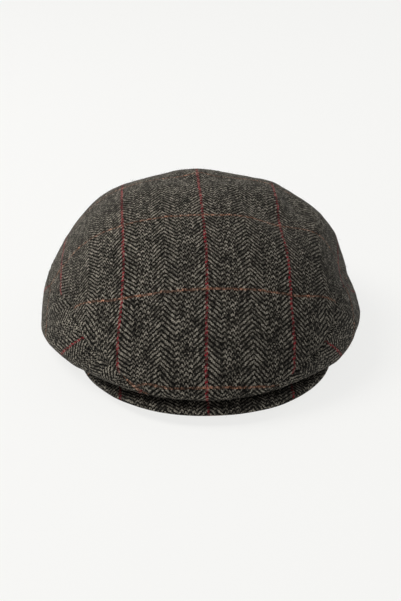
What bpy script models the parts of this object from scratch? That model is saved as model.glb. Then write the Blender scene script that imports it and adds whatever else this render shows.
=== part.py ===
"""A flat cap of tweed: a one-piece top panel, two side panels and a short stiff peak.

The cap stands on its hem on the plane z = 0. The peak points along -Y and +Z is up.
The origin is on that plane, under the middle of the cap's box.
"""
import math
from collections import namedtuple

import bmesh
import bpy
import numpy as np

# Overall sizes, in metres
LENGTH = 0.275          # tip of the peak to the back of the crown
WIDTH = 0.236           # across the widest part of the crown
HEIGHT = 0.108          # hem to the top of the crown
HEAD_WIDTH = 0.162      # the head opening, inside the cloth
HEAD_LENGTH = 0.200
MIDDLE_SHARE = 0.525    # where the head is widest, as a share of its length from the front
WALL = 0.0022           # the tweed and what backs it
SEAM_GAP = 0.0007       # between two panels that are sewn together
CLEARANCE = 0.0009      # between the crown and the peak under it

# Peak sizes
PEAK_WIDTH = 0.184
PEAK_SHIFT = 0.0015     # how far its rim sits to one side, towards +X
PEAK_REACH = 0.055      # the wearer's forehead to the tip
PEAK_SWEEP = 0.108      # how far back the full half ellipse of its rim would go
PEAK_THICK = 0.004
PEAK_ARCH = 0.0065      # how much higher the tip lies than the ends
PEAK_RISE = 0.016       # how much the upper face climbs over PEAK_SWEEP
PEAK_SETBACK = 0.0115   # the crown's front hem behind the tip
PEAK_ROUNDING = 0.0012  # of the sewn rim
PEAK_SQUARENESS = 0.88  # 1 is an ellipse, less is squarer
PEAK_END_ANGLE = 80     # degrees of the half ellipse on each side
PEAK_INNER_WIDTH = 0.160
PEAK_INNER_SWEEP = 0.038

# Places that follow from the sizes
TIP_Y = -LENGTH / 2
BACK_Y = LENGTH / 2
FOREHEAD_Y = TIP_Y + PEAK_REACH
HEAD_BACK_Y = FOREHEAD_Y + HEAD_LENGTH + WALL
MIDDLE_Y = FOREHEAD_Y + MIDDLE_SHARE * HEAD_LENGTH
HEM_LOOP = (HEAD_WIDTH / 2 + WALL, MIDDLE_Y - TIP_Y - PEAK_SETBACK, HEAD_BACK_Y - MIDDLE_Y)
RIM_LOOP = (WIDTH / 2, MIDDLE_Y - TIP_Y, BACK_Y - MIDDLE_Y)
PEAK_END_Y = FOREHEAD_Y + PEAK_INNER_SWEEP
HEM_DROP = 0.030        # the hem comes down from the peak to the table over this length
HEM_SINK = 0.0015       # how far the hem would sink if nothing lay under it
HEM_FLAT = 0.02         # the share of the way up that lies flat on the table

# The crown is drawn as profiles that run from the hem to the top, one at each bearing.
# Bearing 0 is the front, 90 is a side and 180 is the back, and both sides are alike.
# Each pair is a control point: a share of the rim's reach, and a share of HEIGHT.
Profile = namedtuple("Profile", "bearing under low bulge high shoulder slope top")
PROFILES = tuple(Profile(*row) for row in (
    (0, (0.984, 0.138), (1.00, 0.203), (0.955, 0.335), (0.81, 0.55), (0.615, 0.745), (0.405, 0.905), (0.19, 0.985)),
    (25, (0.98, 0.125), (1.00, 0.198), (0.965, 0.345), (0.83, 0.56), (0.635, 0.755), (0.415, 0.910), (0.19, 0.985)),
    (50, (0.915, 0.070), (0.99, 0.150), (0.985, 0.310), (0.865, 0.56), (0.670, 0.770), (0.435, 0.930), (0.19, 0.990)),
    (75, (0.89, 0.012), (0.99, 0.092), (0.995, 0.275), (0.895, 0.545), (0.695, 0.790), (0.445, 0.950), (0.19, 0.995)),
    (100, (0.91, 0.010), (0.995, 0.090), (0.995, 0.275), (0.885, 0.54), (0.695, 0.800), (0.445, 0.955), (0.19, 1.000)),
    (130, (0.92, 0.015), (0.995, 0.100), (0.995, 0.290), (0.905, 0.56), (0.730, 0.790), (0.475, 0.930), (0.19, 0.995)),
    (155, (0.93, 0.015), (0.995, 0.100), (1.005, 0.290), (0.905, 0.56), (0.735, 0.790), (0.480, 0.935), (0.19, 0.993)),
    (180, (0.93, 0.015), (0.995, 0.100), (1.005, 0.290), (0.895, 0.55), (0.720, 0.785), (0.470, 0.965), (0.19, 1.000)),
))
# How far the rim bulges past the ellipse of RIM_LOOP
Rim = namedtuple("Rim", "bearing reach")
RIM = tuple(Rim(*row) for row in (
    (0, 1.00), (20, 1.00), (40, 1.025), (60, 1.050), (80, 1.025), (100, 1.00), (130, 1.02), (155, 1.02), (180, 1.00),
))
# The seam between the top panel and a side panel: the share of the way from the hem to the top
Seam = namedtuple("Seam", "bearing up")
SEAM = tuple(Seam(*row) for row in (
    (20, 0.00), (20.6, 0.05), (22, 0.11), (24, 0.148), (27, 0.188), (31, 0.233), (35, 0.272), (40, 0.303),
    (44, 0.335), (50, 0.392), (57, 0.455), (66, 0.455), (78, 0.415), (100, 0.395), (130, 0.40), (180, 0.43),
))
# Soft dents and bumps: the middle's bearing and share up, its spread both ways, and its depth.
# A bearing over 180 is on the cap's right, and a depth below 0 is a bump.
Dent = namedtuple("Dent", "bearing up wide tall depth")
DENTS = tuple(Dent(*row) for row in (
    (98, 0.60, 16, 0.10, -0.0042),
    (92, 0.53, 10, 0.045, -0.0018),
    (83, 0.37, 10, 0.06, 0.0044),
    (72, 0.275, 10, 0.04, -0.0015),
    (76, 0.50, 9, 0.05, 0.0015),
    (64, 0.80, 14, 0.10, 0.0042),
    (148, 0.79, 12, 0.07, 0.0015),
    (122, 0.76, 9, 0.07, -0.0015),
    (176, 0.92, 20, 0.07, -0.0016),
    (212, 0.78, 12, 0.07, 0.0012),
    (290, 0.205, 11, 0.05, -0.0036),
))

# Mesh counts
FRONT_COLUMNS = 5       # bearings across half of the front, to the seam
CORNER_ROWS = 7         # the seam's first rows, each with a bearing of its own
BACK_COLUMNS = 30       # bearings from there to the middle of the back
TOP_ROWS = 11
SIDE_ROWS = 6
PEAK_STATIONS = 30
PEAK_ROWS = 5
SHARP_ANGLE = 50        # degrees between two faces, past which their edge stays sharp

TWEED = {"colour": (0.058, 0.052, 0.043), "roughness": 0.92, "metallic": 0.0}
PEAK_TWEED = {"colour": (0.046, 0.042, 0.035), "roughness": 0.92, "metallic": 0.0}


def smooth(rows, at):
    """Read a table at any bearing, with a smooth curve that mirrors past its first and last rows."""
    keys = np.array([row[0] for row in rows], float)
    values = np.array([np.ravel(row[1:]) for row in rows], float)
    x = np.concatenate([[2 * keys[0] - keys[1]], keys, [2 * keys[-1] - keys[-2]]])
    y = np.concatenate([values[1:2], values, values[-2:-1]])
    at = np.asarray(at, float)
    k = np.clip(np.searchsorted(keys, at, side="right") - 1, 0, len(keys) - 2)
    step = (x[k + 2] - x[k + 1])[:, None]
    u = (at - x[k + 1])[:, None] / step
    leave = (y[k + 2] - y[k]) / (x[k + 2] - x[k])[:, None] * step
    arrive = (y[k + 3] - y[k + 1]) / (x[k + 3] - x[k + 1])[:, None] * step
    return (
        (2 * u**3 - 3 * u**2 + 1) * y[k + 1]
        + (u**3 - 2 * u**2 + u) * leave
        + (3 * u**2 - 2 * u**3) * y[k + 2]
        + (u**3 - u**2) * arrive
    )


def spline_weights(count, t):
    """The pull of each of count control points on a clamped cubic B-spline, at t from 0 to 1."""
    knots = np.concatenate([[0, 0, 0], np.linspace(0, 1, count - 2), [1, 1, 1]])
    t = np.clip(t, 0, 1 - 1e-12)
    pulls = [((low <= t) & (t < high)).astype(float) for low, high in zip(knots, knots[1:])]
    for degree in (1, 2, 3):
        raised = []
        for i in range(len(pulls) - 1):
            rise = knots[i + degree] - knots[i]
            fall = knots[i + degree + 1] - knots[i + 1]
            up = (t - knots[i]) / rise * pulls[i] if rise > 0 else 0 * t
            down = (knots[i + degree + 1] - t) / fall * pulls[i + 1] if fall > 0 else 0 * t
            raised.append(up + down)
        pulls = raised
    return np.array(pulls).T


def ease(share):
    """From 0 to 1 without a corner."""
    share = np.clip(share, 0, 1)
    return share * share * (3 - 2 * share)


def peak_top(x, y):
    """The height of the peak's upper face: arched across, and climbing from the tip."""
    across = np.clip(1 - (2 * (x - PEAK_SHIFT) / PEAK_WIDTH) ** 2, 0, 1)
    back = (y - TIP_Y) / PEAK_SWEEP
    return PEAK_THICK + (PEAK_ARCH + PEAK_RISE * back) * across


def resting_height(x, y):
    """What the crown lies on: the peak in front, and the table behind it."""
    return (peak_top(x, y) + CLEARANCE) * ease((PEAK_END_Y + HEM_DROP - y) / HEM_DROP)


def on_loop(bearing, reach, loop):
    """The plan point at a bearing, on a loop that is half one ellipse and half another."""
    side, front, back = loop
    depth = np.where(np.cos(bearing) > 0, front, back)
    return reach * side * np.sin(bearing), MIDDLE_Y - reach * depth * np.cos(bearing)


def draped(bearing, up):
    """The crown's outer face before it rests on anything, from flat arrays of bearings and shares up."""
    turned = (bearing + 180) % 360 - 180
    angle = np.abs(turned)
    shares = smooth(PROFILES, angle).reshape(len(angle), -1, 2)
    rim_x, rim_y = on_loop(np.radians(angle), smooth(RIM, angle)[:, 0], RIM_LOOP)
    hem_x, hem_y = on_loop(np.radians(angle), 1.0, HEM_LOOP)
    hem_z = resting_height(hem_x, hem_y) - HEM_SINK
    zero = np.zeros((len(angle), 1))
    x = np.hstack([hem_x[:, None], rim_x[:, None] * shares[:, :, 0], zero])
    y = np.hstack([hem_y[:, None], MIDDLE_Y + (rim_y - MIDDLE_Y)[:, None] * shares[:, :, 0], zero + MIDDLE_Y])
    z = np.hstack([hem_z[:, None], HEIGHT * shares[:, :, 1], zero + HEIGHT])
    pull = spline_weights(x.shape[1], up)
    mirror = np.where(turned < 0, -1.0, 1.0)
    return np.stack([(x * pull).sum(1) * mirror, (y * pull).sum(1), (z * pull).sum(1)], 1)


def normals(bearing, up):
    """Outward normals of the draped face."""
    turn, climb = 0.2, 0.002
    up = np.clip(up, climb, 1 - 2 * climb)
    along = draped(bearing + turn, up) - draped(bearing - turn, up)
    upward = draped(bearing, up + climb) - draped(bearing, up - climb)
    outward = np.cross(along, upward)
    return outward / np.linalg.norm(outward, axis=1)[:, None]


def dent_depth(bearing, up):
    """How far the dents push the cloth in."""
    depth = np.zeros(len(bearing))
    for dent in DENTS:
        away = ((bearing - dent.bearing + 180) % 360 - 180) / dent.wide
        depth += dent.depth * np.exp(-(away**2) - ((up - dent.up) / dent.tall) ** 2)
    return depth


def crown_walls(bearing, up):
    """The outer and inner faces of the crown's cloth, as two arrays of points."""
    outward = normals(bearing, up)
    outer = draped(bearing, up) - outward * dent_depth(bearing, up)[:, None]
    outer[:, 2] = np.maximum(outer[:, 2], resting_height(outer[:, 0], outer[:, 1]))
    return outer, outer - outward * WALL


def seam_up(bearing):
    """The seam's share up at each bearing, 0 across the front."""
    angle = np.abs((bearing + 180) % 360 - 180)
    return np.where(angle < SEAM[0].bearing, 0.0, smooth(SEAM, np.maximum(angle, SEAM[0].bearing))[:, 0])


def half_gap(bearing):
    """Half of SEAM_GAP as a share up, measured square to the seam's own slope."""
    turn, climb = 0.5, 0.01
    here = draped(bearing, seam_up(bearing))
    rise = np.linalg.norm(draped(bearing, seam_up(bearing) + climb) - here, axis=1) / climb
    run = np.linalg.norm(draped(bearing + turn, seam_up(bearing)) - here, axis=1) / turn
    slope = (seam_up(bearing + turn) - seam_up(bearing - turn)) / (2 * turn) * rise / run
    return SEAM_GAP / 2 / rise * np.sqrt(1 + slope**2)


def new_object(name, mesh, material):
    """Finish a bmesh as a named object: faces outward, shaded smooth but for its edges."""
    bmesh.ops.recalc_face_normals(mesh, faces=mesh.faces)
    data = bpy.data.meshes.new(name)
    mesh.to_mesh(data)
    mesh.free()
    data.shade_smooth()
    data.set_sharp_from_angle(angle=math.radians(SHARP_ANGLE))
    data.materials.append(material)
    made = bpy.data.objects.new(name, data)
    bpy.context.scene.collection.objects.link(made)
    return made


def new_material(name, colour, roughness, metallic):
    """A Principled material."""
    material = bpy.data.materials.new(name)
    material.use_nodes = True
    shader = material.node_tree.nodes["Principled BSDF"]
    shader.inputs["Base Color"].default_value = (*colour, 1.0)
    shader.inputs["Roughness"].default_value = roughness
    shader.inputs["Metallic"].default_value = metallic
    return material


def grid_faces(mesh, rows):
    """Quads between neighbouring rows of vertices."""
    for low, high in zip(rows, rows[1:]):
        for a, b, c, d in zip(low, low[1:], high[1:], high):
            mesh.faces.new((a, b, c, d))


def shell(outer, inner):
    """A closed sheet from two grids of points, columns by rows, walled all round."""
    mesh = bmesh.new()
    grids = [[[mesh.verts.new(point) for point in line] for line in grid] for grid in (outer, inner)]
    for grid in grids:
        grid_faces(mesh, grid)
    for first, last in ((0, -1), (-1, 0)):
        grid_faces(mesh, [grids[first][first], grids[last][first]])
        grid_faces(mesh, [[line[first] for line in grids[first]], [line[first] for line in grids[last]]])
    return mesh


def panel_columns():
    """Bearings from the front to the back, close together at the steep end of the seam."""
    return np.concatenate([
        np.linspace(0, SEAM[0].bearing, FRONT_COLUMNS + 1)[:-1],
        [row.bearing for row in SEAM[:CORNER_ROWS]],
        np.linspace(SEAM[CORNER_ROWS].bearing, 180, BACK_COLUMNS + 1),
    ])


def build_top_panel(material):
    """One piece from the front hem over the top to the back, closed at the middle by a fan."""
    half = panel_columns()
    bearings = np.concatenate([half, 360 - half[-2:0:-1]])
    corner = SEAM[0].bearing
    angle = np.minimum(bearings, 360 - bearings)
    foot = seam_up(bearings)
    foot = np.where(angle > corner, foot + half_gap(bearings), 0.0)
    mesh = bmesh.new()
    rings = []
    for row in range(TOP_ROWS):
        up = foot + (1 - foot) * row / TOP_ROWS
        outer, inner = crown_walls(bearings, up)
        rings.append([[mesh.verts.new(point) for point in wall] for wall in (outer, inner)])
    tops = [mesh.verts.new(wall[0]) for wall in crown_walls(np.zeros(1), np.ones(1))]
    for side in (0, 1):
        rows = [ring[side] + ring[side][:1] for ring in rings]
        grid_faces(mesh, rows)
        for a, b in zip(rows[-1], rows[-1][1:]):
            mesh.faces.new((a, b, tops[side]))
    grid_faces(mesh, [ring + ring[:1] for ring in rings[0]])
    return new_object("top_panel", mesh, material)


def build_side_panel(name, side, material):
    """From a blunt point beside the peak, round one side, to the seam at the middle of the back."""
    half = panel_columns()
    angle = half[half >= SEAM[1].bearing]
    back_gap = math.degrees(SEAM_GAP / 2 / (BACK_Y - MIDDLE_Y))
    angle[-1] = 180 - back_gap
    bearings = side * angle
    head = seam_up(bearings) - half_gap(bearings)
    walls = ([], [])
    for bearing, top in zip(bearings, head):
        up = np.append(0, np.linspace(HEM_FLAT, top, SIDE_ROWS))
        for wall, points in zip(walls, crown_walls(np.full(len(up), bearing), up)):
            wall.append(points)
    return new_object(name, shell(*walls), material)


def peak_station(angle):
    """The inner and outer end of the line across the peak at an angle round its half ellipse."""
    share = angle / PEAK_END_ANGLE
    turn = math.radians(angle)
    inner_turn = share * math.pi / 2
    sine = math.copysign(abs(math.sin(turn)) ** PEAK_SQUARENESS, angle)
    outer = (PEAK_SHIFT + PEAK_WIDTH / 2 * sine, TIP_Y + PEAK_SWEEP * (1 - math.cos(turn)))
    inner = (PEAK_INNER_WIDTH / 2 * math.sin(inner_turn), FOREHEAD_Y + PEAK_INNER_SWEEP * (1 - math.cos(inner_turn)))
    return np.array(inner), np.array(outer)


def build_peak(material):
    """An arched crescent of even thickness with a rounded rim."""
    upper, lower = [], []
    for angle in np.linspace(-PEAK_END_ANGLE, PEAK_END_ANGLE, PEAK_STATIONS + 1):
        inner, outer = peak_station(angle)
        length = np.linalg.norm(outer - inner)
        shares = np.append(np.linspace(0, 1 - PEAK_ROUNDING / length, PEAK_ROWS), 1.0)
        plan = inner + (outer - inner) * shares[:, None]
        top = peak_top(plan[:, 0], plan[:, 1])
        low = top - PEAK_THICK
        top[-1] -= PEAK_ROUNDING
        low[-1] += PEAK_ROUNDING
        upper.append(np.column_stack([plan, top]))
        lower.append(np.column_stack([plan, low]))
    return new_object("peak", shell(upper, lower), material)


def main():
    for old in list(bpy.data.objects):
        bpy.data.objects.remove(old, do_unlink=True)
    tweed = new_material("tweed", **TWEED)
    peak_tweed = new_material("peak_tweed", **PEAK_TWEED)
    build_top_panel(tweed)
    build_side_panel("left_side_panel", -1, tweed)
    build_side_panel("right_side_panel", 1, tweed)
    build_peak(peak_tweed)


main()
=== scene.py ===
"""A flat cap of herringbone tweed with a windowpane overcheck, on a pale floor."""

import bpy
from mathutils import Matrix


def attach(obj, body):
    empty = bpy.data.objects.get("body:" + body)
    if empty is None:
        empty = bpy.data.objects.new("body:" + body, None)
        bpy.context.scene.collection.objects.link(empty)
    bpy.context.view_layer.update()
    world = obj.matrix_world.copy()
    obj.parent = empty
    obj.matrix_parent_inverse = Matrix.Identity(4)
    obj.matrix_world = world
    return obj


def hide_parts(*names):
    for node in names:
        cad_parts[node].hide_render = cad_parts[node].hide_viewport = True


bl_info = {
    "name": "Tweed flat cap",
    "version": (1, 0, 0),
    "blender": (4, 5, 0),
    "location": "3D View > Sidebar > Flat Cap",
    "description": "Builds a tweed flat cap from its panels, its peak and its loose wool",
    "category": "Object",
}

import math

import bmesh
import bpy
import numpy as np
from bpy.props import FloatProperty, FloatVectorProperty, PointerProperty
from mathutils import Vector, noise

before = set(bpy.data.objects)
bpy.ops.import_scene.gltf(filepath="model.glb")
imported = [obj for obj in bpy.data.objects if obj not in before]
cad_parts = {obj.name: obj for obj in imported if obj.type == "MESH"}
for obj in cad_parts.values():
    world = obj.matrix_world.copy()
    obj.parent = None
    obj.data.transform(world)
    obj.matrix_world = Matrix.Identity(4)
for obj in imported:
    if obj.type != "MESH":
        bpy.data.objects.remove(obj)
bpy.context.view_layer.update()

# Overall sizes of the shape, in metres and degrees
LENGTH = 0.275
WIDTH = 0.236
HEIGHT = 0.108
HEAD_WIDTH = 0.162
HEAD_LENGTH = 0.200
MIDDLE_SHARE = 0.525    # of the head's length, from the forehead to the crown's widest place
WALL = 0.0022
CLEARANCE = 0.0009
PEAK_WIDTH = 0.184
PEAK_SHIFT = 0.0015
PEAK_REACH = 0.055
PEAK_SWEEP = 0.108
PEAK_THICK = 0.004
PEAK_ARCH = 0.0065
PEAK_RISE = 0.016
PEAK_SETBACK = 0.0115
PEAK_SQUARENESS = 0.88  # below 1, the peak's outline is squarer than an ellipse
PEAK_END_ANGLE = 80
PEAK_INNER_WIDTH = 0.160
PEAK_INNER_SWEEP = 0.038
PEAK_FORWARD = 0.0012
PEAK_NOSE = 5           # degrees over which each end of the peak rounds off
PEAK_THINNEST = 0.2     # share of the peak's thickness that is left at its ends
PEAK_SINK = 0.3         # share of the lost thickness that comes off the upper face
PEAK_CLOTH_AHEAD = 0.004    # from the peak's tip forwards to where its cloth is measured from

# Places that follow from the sizes
TIP_Y = -LENGTH / 2
BACK_Y = LENGTH / 2
FOREHEAD_Y = TIP_Y + PEAK_REACH
HEAD_BACK_Y = FOREHEAD_Y + HEAD_LENGTH + WALL
MIDDLE_Y = FOREHEAD_Y + MIDDLE_SHARE * HEAD_LENGTH
HEM_LOOP = (HEAD_WIDTH / 2 + WALL, MIDDLE_Y - TIP_Y - PEAK_SETBACK, HEAD_BACK_Y - MIDDLE_Y)
RIM_LOOP = (WIDTH / 2, MIDDLE_Y - TIP_Y, BACK_Y - MIDDLE_Y)
HEM_SINK = 0.0015
PEAK_END_Y = FOREHEAD_Y + PEAK_INNER_SWEEP
HEM_DROP = 0.030

# Profiles of the crown from the hem to the top. Each row is a bearing, 0 at the front and 180 at
# the back, and seven pairs: a share of the rim's reach, and a share of HEIGHT.
PROFILES = (
    (0, (0.984, 0.138), (1.00, 0.203), (0.955, 0.335), (0.81, 0.55), (0.615, 0.745),
     (0.405, 0.905), (0.19, 0.985)),
    (25, (0.98, 0.125), (1.00, 0.198), (0.965, 0.345), (0.83, 0.56), (0.635, 0.755),
     (0.415, 0.910), (0.19, 0.985)),
    (50, (0.915, 0.070), (0.99, 0.150), (0.985, 0.310), (0.865, 0.56), (0.670, 0.770),
     (0.435, 0.930), (0.19, 0.990)),
    (75, (0.89, 0.012), (0.99, 0.092), (0.995, 0.275), (0.895, 0.545), (0.695, 0.790),
     (0.445, 0.950), (0.19, 0.995)),
    (100, (0.91, 0.010), (0.995, 0.090), (0.995, 0.275), (0.885, 0.54), (0.695, 0.800),
     (0.445, 0.955), (0.19, 1.000)),
    (130, (0.92, 0.015), (0.995, 0.100), (0.995, 0.290), (0.905, 0.56), (0.730, 0.790),
     (0.475, 0.930), (0.19, 0.995)),
    (155, (0.93, 0.015), (0.995, 0.100), (1.005, 0.290), (0.905, 0.56), (0.735, 0.790),
     (0.480, 0.935), (0.19, 0.993)),
    (180, (0.93, 0.015), (0.995, 0.100), (1.005, 0.290), (0.895, 0.55), (0.720, 0.785),
     (0.470, 0.965), (0.19, 1.000)),
)
# Bearing, and how far the rim bulges past the ellipse of RIM_LOOP
RIM = (
    (0, 1.00), (20, 1.00), (40, 1.025), (60, 1.050), (80, 1.025), (100, 1.00), (130, 1.02), (155, 1.02),
    (180, 1.00),
)
# Bearing, and the share of the way up of the seam between the top panel and a side panel
SEAM = (
    (20, 0.00), (20.6, 0.05), (22, 0.11), (24, 0.148), (27, 0.188), (31, 0.233), (35, 0.272), (40, 0.303),
    (44, 0.335), (50, 0.392), (57, 0.455), (66, 0.455), (78, 0.415), (100, 0.395), (130, 0.40), (180, 0.43),
)
BLUNT_SHARE = 0.6       # how far along the seam's first stretch a side panel's point is cut off
SIDE_START = SEAM[0][0] + BLUNT_SHARE * (SEAM[1][0] - SEAM[0][0])
# Dents and bumps: bearing, share up, spread round, spread up, depth
DENTS = (
    (98, 0.60, 16, 0.10, -0.0042),
    (92, 0.53, 10, 0.045, -0.0018),
    (83, 0.37, 10, 0.06, 0.0044),
    (72, 0.275, 10, 0.04, -0.0015),
    (76, 0.50, 9, 0.05, 0.0015),
    (64, 0.80, 14, 0.10, 0.0042),
    (148, 0.79, 12, 0.07, 0.0015),
    (122, 0.76, 9, 0.07, -0.0015),
    (176, 0.92, 20, 0.07, -0.0016),
    (212, 0.78, 12, 0.07, 0.0012),
    (290, 0.215, 11, 0.055, -0.0030),
    (50, 0.14, 8, 0.05, -0.0018),
    (180, 0.82, 30, 0.08, 0.0008),
    (88, 0.725, 13, 0.045, 0.0034),
    (83, 0.635, 13, 0.045, -0.0028),
    (73, 0.455, 9, 0.06, 0.0022),
)
# Share up from which the dents fade, and the span over which they do
DENT_FADE = (0.94, 0.06)

# The raised shoulder beside a seam's groove, in depths and widths of the groove
SHOULDER_HEIGHT = 0.35
SHOULDER_PLACE = 2.6
SHOULDER_WIDTH = 1.6
PUCKER_START = 0.0015   # from a seam to where its puckers have grown up
PUCKER_WAVE = (2.5, 0.020, 3)   # radians by which the puckers stray, over what size, and seed
# Waves of the soft unevenness: share of its height, size and seed
CROWN_WAVES = ((1.0, 0.035, 1), (0.5, 0.016, 2), (0.4, 0.007, 4))
PEAK_WAVE = (0.5, 0.022, 9)

# Counts of the weave
REPEAT_ENDS = 32        # warp ends in one repeat of the herringbone
FALL_ENDS = 11          # ends from a peak of the zigzag in which the twill falls
RISE_ENDS = 9           # ends before the next peak in which it rises
STEP_ENDS = 3           # ends in each small step between them, two up and one down
FLOAT_PICKS = 4         # picks in one repeat of the two-and-two twill
PANE_ENDS = 64          # from one red line to the next
PANE_PICKS = 76         # from one rust line to the next
PANE_YARNS = 2          # side by side in one overcheck line

# Tone and colour of the yarns
PANE_FUZZ = 0.4         # how much of an overcheck yarn still shows where it passes under another
RUST_FAINTEST = 0.6     # share of its colour that a rust line keeps where it fades
FLECK_LIMIT = 0.55      # the lightest that a fleck gets
FLECK_DOUBLINGS = 4.0   # doublings of brightness that a fleck of 1 makes, at full strength
WOBBLE_YARNS = 5.0      # how far yarns stray at full wobble
STREAK_WIDTH = 0.3      # of a streak of tone, as a share of its length along the warp
STREAK_TONE = 1.2       # how much lighter or darker a streak may be
FIBRES_PER_YARN = 3.0
# Changes of tone along a yarn: spread between yarns, stretch along one, place, detail and strength
YARN_TONES = ((7.31, 0.16, 0.0, 2.0, 1.6), (5.17, 0.75, 3.0, 1.0, 3.4))
YARN_MIDDLE = 2.5       # what the two add up to on average

# One stray fibre
FIBRE_STEPS = 3
FIBRE_SIDES = 3
FIBRE_LEAN = 0.9        # how far its tip leans over, as a share of its height
FIBRE_TAPER = 0.7       # share of its thickness that it loses by its tip
FIBRE_SHORTEST = 0.35   # as a share of the longest
FIBRE_TILT = 1.1        # radians by which a fibre may be laid over
FIBRE_SEED = 4

# Mesh steps
SEAM_ROWS = (0.0, 0.0004, 0.0008, 0.0013, 0.0019, 0.0027, 0.0038, 0.0052, 0.0070)
HEM_ROWS = 6            # how many of those rows lie beside a side panel's hem
SHORT_SIDE = 0.03       # a side panel lower than this has its seam rows drawn together
TOP_ROWS = 68
SIDE_ROWS = 22
INNER_ROWS = 16
PEAK_STATIONS = 180
PEAK_ROWS = 16
RIM_ROWS = 10
# Columns of a mesh: bearing from, bearing to, and steps between them
CROWN_COLUMNS = ((0, 18, 15), (18, 26, 32), (26, 44, 40), (44, 180, 113))
TOP_PATTERN_COLUMNS = ((0, 19, 6), (19, 30, 11), (30, 180, 50))
SIDE_PATTERN_COLUMNS = ((SIDE_START, 30, 15), (30, 180, 50))
TOP_PATTERN_ROWS = 30
SIDE_PATTERN_ROWS = 10
LEAST_STEP = 0.1        # from a side panel's point to its next column
# Points along a seam: bearing from, bearing to, and how many
SEAM_POINTS = ((SEAM[0][0], 30, 160), (30.2, 180, 560))
BACK_SEAM_POINTS = 90

# The stage
FLOOR_REACH = 6.0
FLOOR_BEND = 1.5
FLOOR_HEIGHT = 8.0
FLOOR_DROP = 0.00005    # so that the floor and the cap's lowest faces don't share a plane

# The photographed view
ELEVATION = 25
AZIMUTH = -3
PICTURE_SIZE = (401, 601)
TARGET = (0.0, 0.0, 0.05)
SENSOR = 36.0
PIXELS_PER_TANGENT = 1347.7
TARGET_ROW = 269.0


def smooth(rows, at):
    """Read a table at any bearing, with a smooth curve that mirrors past its first and last rows."""
    keys = np.array([row[0] for row in rows], float)
    values = np.array([np.ravel(row[1:]) for row in rows], float)
    x = np.concatenate([[2 * keys[0] - keys[1]], keys, [2 * keys[-1] - keys[-2]]])
    y = np.concatenate([values[1:2], values, values[-2:-1]])
    at = np.asarray(at, float)
    k = np.clip(np.searchsorted(keys, at, side="right") - 1, 0, len(keys) - 2)
    step = (x[k + 2] - x[k + 1])[:, None]
    u = (at - x[k + 1])[:, None] / step
    leave = (y[k + 2] - y[k]) / (x[k + 2] - x[k])[:, None] * step
    arrive = (y[k + 3] - y[k + 1]) / (x[k + 3] - x[k + 1])[:, None] * step
    return (
        (2 * u**3 - 3 * u**2 + 1) * y[k + 1]
        + (u**3 - 2 * u**2 + u) * leave
        + (3 * u**2 - 2 * u**3) * y[k + 2]
        + (u**3 - u**2) * arrive
    )


def spline_weights(count, t):
    """The pull of each of count control points on a clamped cubic B-spline, at t from 0 to 1."""
    knots = np.concatenate([[0, 0, 0], np.linspace(0, 1, count - 2), [1, 1, 1]])
    t = np.clip(t, 0, 1 - 1e-12)
    pulls = [((low <= t) & (t < high)).astype(float) for low, high in zip(knots, knots[1:])]
    for degree in (1, 2, 3):
        raised = []
        for i in range(len(pulls) - 1):
            rise = knots[i + degree] - knots[i]
            fall = knots[i + degree + 1] - knots[i + 1]
            up = (t - knots[i]) / rise * pulls[i] if rise > 0 else 0 * t
            down = (knots[i + degree + 1] - t) / fall * pulls[i + 1] if fall > 0 else 0 * t
            raised.append(up + down)
        pulls = raised
    return np.array(pulls).T


def ease(share):
    """From 0 to 1 without a corner."""
    share = np.clip(share, 0, 1)
    return share * share * (3 - 2 * share)


def peak_top(x, y):
    """The height of the peak's upper face: arched across, and climbing from the tip."""
    across = np.clip(1 - (2 * (x - PEAK_SHIFT) / PEAK_WIDTH) ** 2, 0, 1)
    back = (y - TIP_Y) / PEAK_SWEEP
    return PEAK_THICK + (PEAK_ARCH + PEAK_RISE * back) * across


def resting_height(x, y):
    """What the crown lies on: the peak in front, and the table behind it."""
    return (peak_top(x, y) + CLEARANCE) * ease((PEAK_END_Y + HEM_DROP - y) / HEM_DROP)


def on_loop(bearing, reach, loop):
    """The plan point at a bearing, on a loop that is half one ellipse and half another."""
    side, front, back = loop
    depth = np.where(np.cos(bearing) > 0, front, back)
    return reach * side * np.sin(bearing), MIDDLE_Y - reach * depth * np.cos(bearing)


def draped(bearing, up):
    """The crown's outer face before it rests on anything, from flat arrays of bearings and shares up."""
    turned = (bearing + 180) % 360 - 180
    angle = np.abs(turned)
    shares = smooth(PROFILES, angle).reshape(len(angle), -1, 2)
    rim_x, rim_y = on_loop(np.radians(angle), smooth(RIM, angle)[:, 0], RIM_LOOP)
    hem_x, hem_y = on_loop(np.radians(angle), 1.0, HEM_LOOP)
    hem_z = resting_height(hem_x, hem_y) - HEM_SINK
    zero = np.zeros((len(angle), 1))
    x = np.hstack([hem_x[:, None], rim_x[:, None] * shares[:, :, 0], zero])
    depth = (rim_y - MIDDLE_Y)[:, None] * shares[:, :, 0]
    y = np.hstack([hem_y[:, None], MIDDLE_Y + depth, zero + MIDDLE_Y])
    z = np.hstack([hem_z[:, None], HEIGHT * shares[:, :, 1], zero + HEIGHT])
    pull = spline_weights(x.shape[1], up)
    mirror = np.where(turned < 0, -1.0, 1.0)
    return np.stack([(x * pull).sum(1) * mirror, (y * pull).sum(1), (z * pull).sum(1)], 1)


def normals(bearing, up):
    """Outward normals of the draped face."""
    turn, climb = 0.2, 0.002
    up = np.clip(up, climb, 1 - 2 * climb)
    along = draped(bearing + turn, up) - draped(bearing - turn, up)
    upward = draped(bearing, up + climb) - draped(bearing, up - climb)
    outward = np.cross(along, upward)
    return outward / np.linalg.norm(outward, axis=1)[:, None]


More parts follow.
